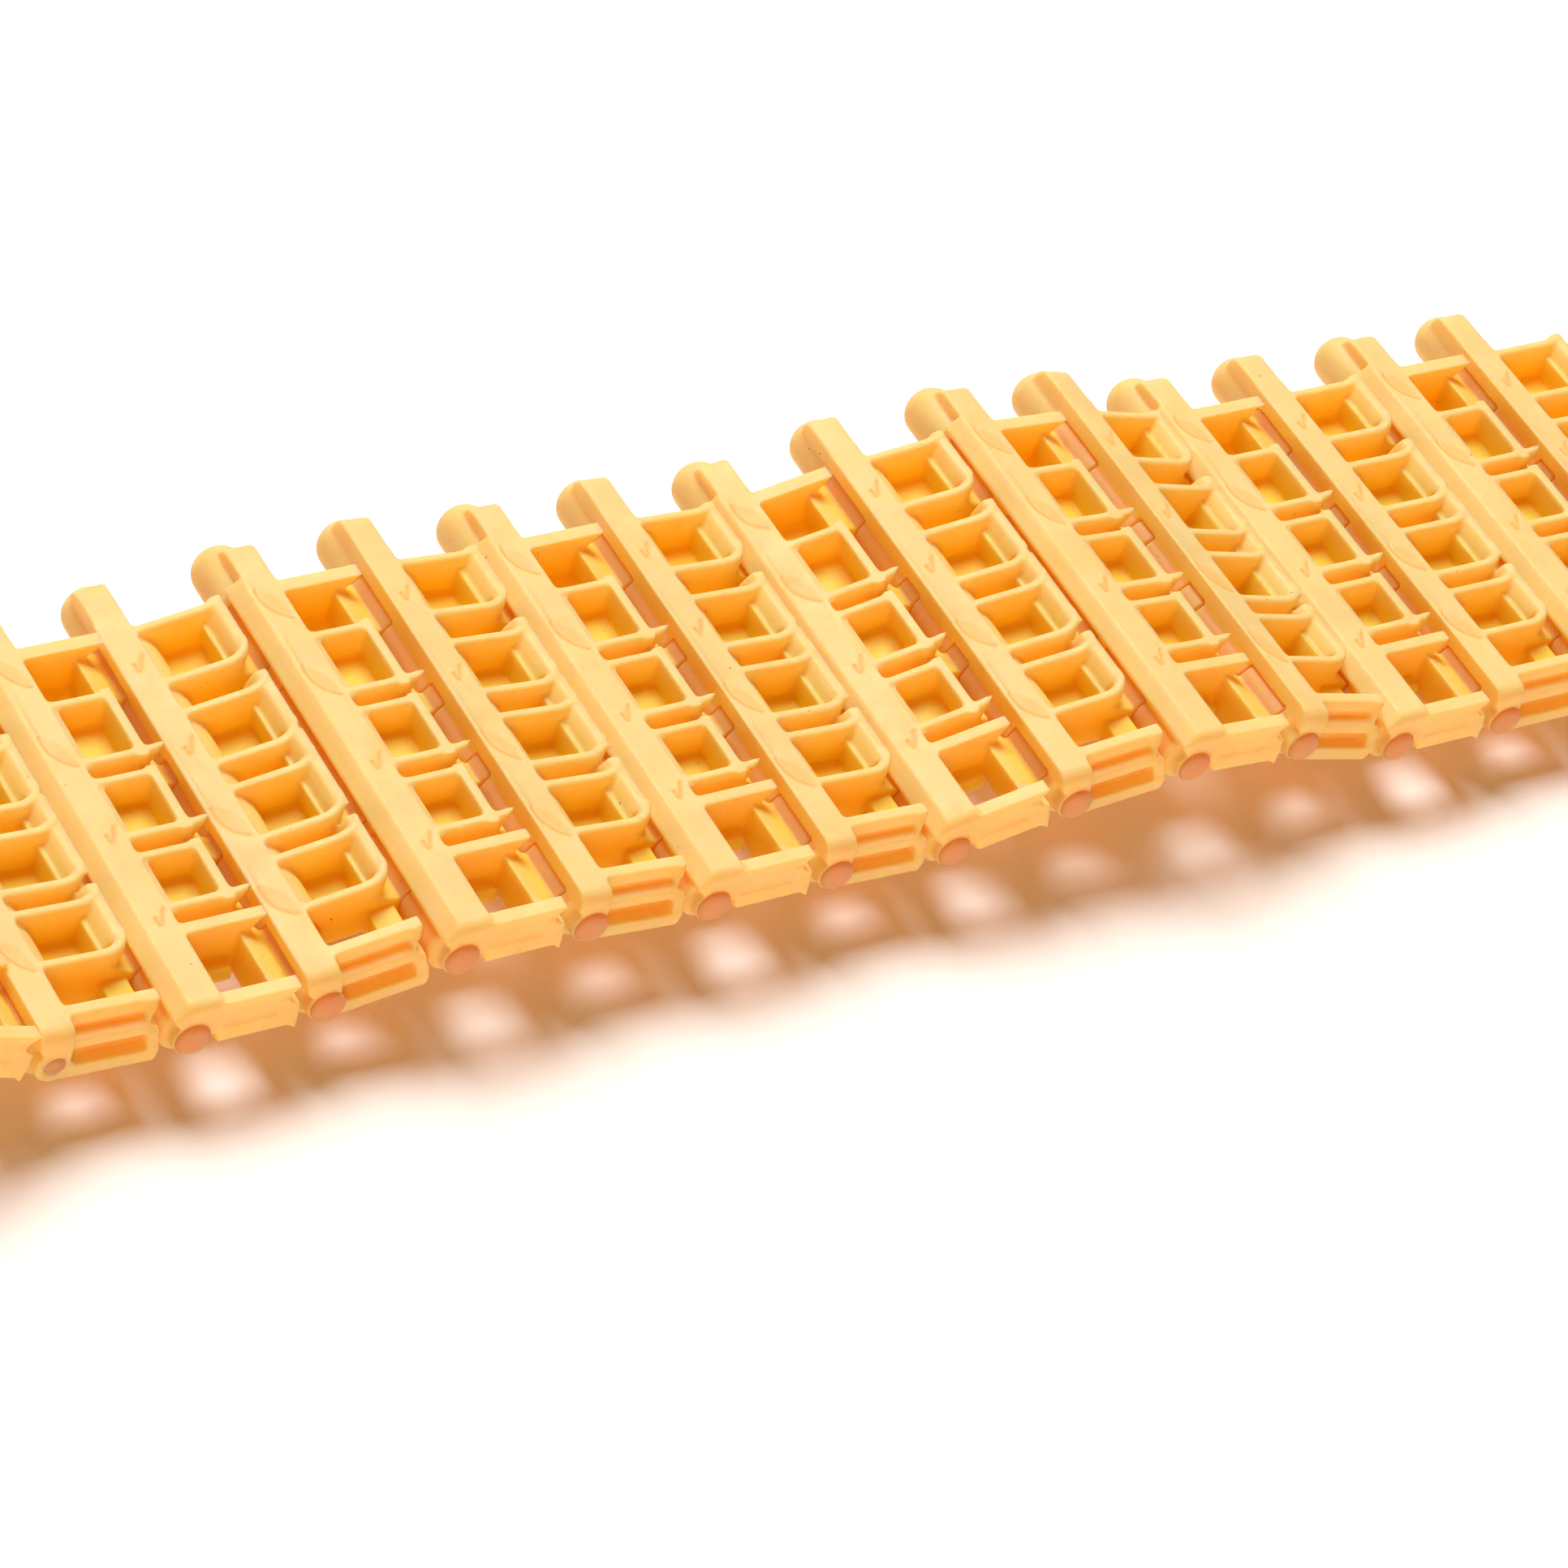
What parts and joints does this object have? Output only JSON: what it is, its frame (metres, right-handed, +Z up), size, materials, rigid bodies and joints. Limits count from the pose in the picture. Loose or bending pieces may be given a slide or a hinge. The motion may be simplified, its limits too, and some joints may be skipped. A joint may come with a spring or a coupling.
{
  "type": "hinged link belt",
  "caption": "Flat hinged link belt of two alternating open-pocket link types joined by cross pins, standing on tapered guide horns under the wider-ribbed links.",
  "frame": {"origin": "on the surface the belt stands on, under the middle of its overall length and width", "axes": "+X along the belt, +Y across it towards the end bosses, +Z up out of the ribbed face"},
  "size_m": [0.07, 0.0178, 0.0053],
  "materials": {
    "resin": "satin translucent moulded resin",
    "pin": "satin"
  },
  "bodies": {
    "box_link_1": {"box_link_1": "resin", "box_pin_1": "pin"},
    "scoop_link_1": {"scoop_link_1": "resin", "scoop_pin_1": "pin"},
    "box_link_2": {"box_link_2": "resin", "box_pin_2": "pin"},
    "scoop_link_2": {"scoop_link_2": "resin", "scoop_pin_2": "pin"},
    "box_link_3": {"box_link_3": "resin", "box_pin_3": "pin"},
    "scoop_link_3": {"scoop_link_3": "resin", "scoop_pin_3": "pin"},
    "box_link_4": {"box_link_4": "resin", "box_pin_4": "pin"},
    "scoop_link_4": {"scoop_link_4": "resin", "scoop_pin_4": "pin"},
    "box_link_5": {"box_link_5": "resin", "box_pin_5": "pin"},
    "scoop_link_5": {"scoop_link_5": "resin", "scoop_pin_5": "pin"},
    "box_link_6": {"box_link_6": "resin", "box_pin_6": "pin"},
    "scoop_link_6": {"scoop_link_6": "resin", "scoop_pin_6": "pin"},
    "box_link_7": {"box_link_7": "resin", "box_pin_7": "pin"},
    "scoop_link_7": {"scoop_link_7": "resin", "scoop_pin_7": "pin"},
    "box_link_8": {"box_link_8": "resin", "box_pin_8": "pin"},
    "scoop_link_8": {"scoop_link_8": "resin", "scoop_pin_8": "pin"}
  },
  "joints": [
    {"name": "hinge_01", "type": "hinge", "parent": "scoop_link_1", "child": "box_link_1", "pos_m": [-0.03004, -0.00126, 0.00263], "axis": [0, 1, 0], "range_deg": [-35, 5]},
    {"name": "hinge_02", "type": "hinge", "parent": "box_link_2", "child": "scoop_link_1", "pos_m": [-0.02575, -0.00126, 0.0024], "axis": [0, 1, 0], "range_deg": [-23, 17]},
    {"name": "hinge_03", "type": "hinge", "parent": "scoop_link_2", "child": "box_link_2", "pos_m": [-0.02145, -0.00126, 0.0024], "axis": [0, 1, 0], "range_deg": [-29, 11]},
    {"name": "hinge_04", "type": "hinge", "parent": "box_link_3", "child": "scoop_link_2", "pos_m": [-0.0172, -0.00126, 0.00307], "axis": [0, 1, 0], "range_deg": [-11.5, 28.5]},
    {"name": "hinge_05", "type": "hinge", "parent": "scoop_link_3", "child": "box_link_3", "pos_m": [-0.0129, -0.00126, 0.00311], "axis": [0, 1, 0], "range_deg": [-14.5, 25.5]},
    {"name": "hinge_06", "type": "hinge", "parent": "box_link_4", "child": "scoop_link_3", "pos_m": [-0.00862, -0.00126, 0.00274], "axis": [0, 1, 0], "range_deg": [-25.5, 14.5]},
    {"name": "hinge_07", "type": "hinge", "parent": "scoop_link_4", "child": "box_link_4", "pos_m": [-0.00432, -0.00126, 0.00277], "axis": [0, 1, 0], "range_deg": [-16.5, 23.5]},
    {"name": "hinge_08", "type": "hinge", "parent": "box_link_5", "child": "scoop_link_4", "pos_m": [-0.00003, -0.00126, 0.00255], "axis": [0, 1, 0], "range_deg": [-34.5, 5.5]},
    {"name": "hinge_09", "type": "hinge", "parent": "box_link_5", "child": "scoop_link_5", "pos_m": [0.00419, -0.00126, 0.00341], "axis": [0, -1, 0], "range_deg": [-14.5, 25.5]},
    {"name": "hinge_10", "type": "hinge", "parent": "scoop_link_5", "child": "box_link_6", "pos_m": [0.00846, -0.00126, 0.00385], "axis": [0, -1, 0], "range_deg": [-10, 30]},
    {"name": "hinge_11", "type": "hinge", "parent": "box_link_6", "child": "scoop_link_6", "pos_m": [0.01275, -0.00126, 0.00355], "axis": [0, -1, 0], "range_deg": [-8.5, 31.5]},
    {"name": "hinge_12", "type": "hinge", "parent": "scoop_link_6", "child": "box_link_7", "pos_m": [0.0169, -0.00126, 0.00241], "axis": [0, -1, 0], "range_deg": [-35.5, 4.5]},
    {"name": "hinge_13", "type": "hinge", "parent": "box_link_7", "child": "scoop_link_7", "pos_m": [0.0212, -0.00126, 0.00241], "axis": [0, -1, 0], "range_deg": [-20, 20]},
    {"name": "hinge_14", "type": "hinge", "parent": "scoop_link_7", "child": "box_link_8", "pos_m": [0.0255, -0.00126, 0.00241], "axis": [0, -1, 0], "range_deg": [-20, 20]},
    {"name": "hinge_15", "type": "hinge", "parent": "box_link_8", "child": "scoop_link_8", "pos_m": [0.0298, -0.00126, 0.00241], "axis": [0, -1, 0], "range_deg": [-20, 20]}
  ]
}
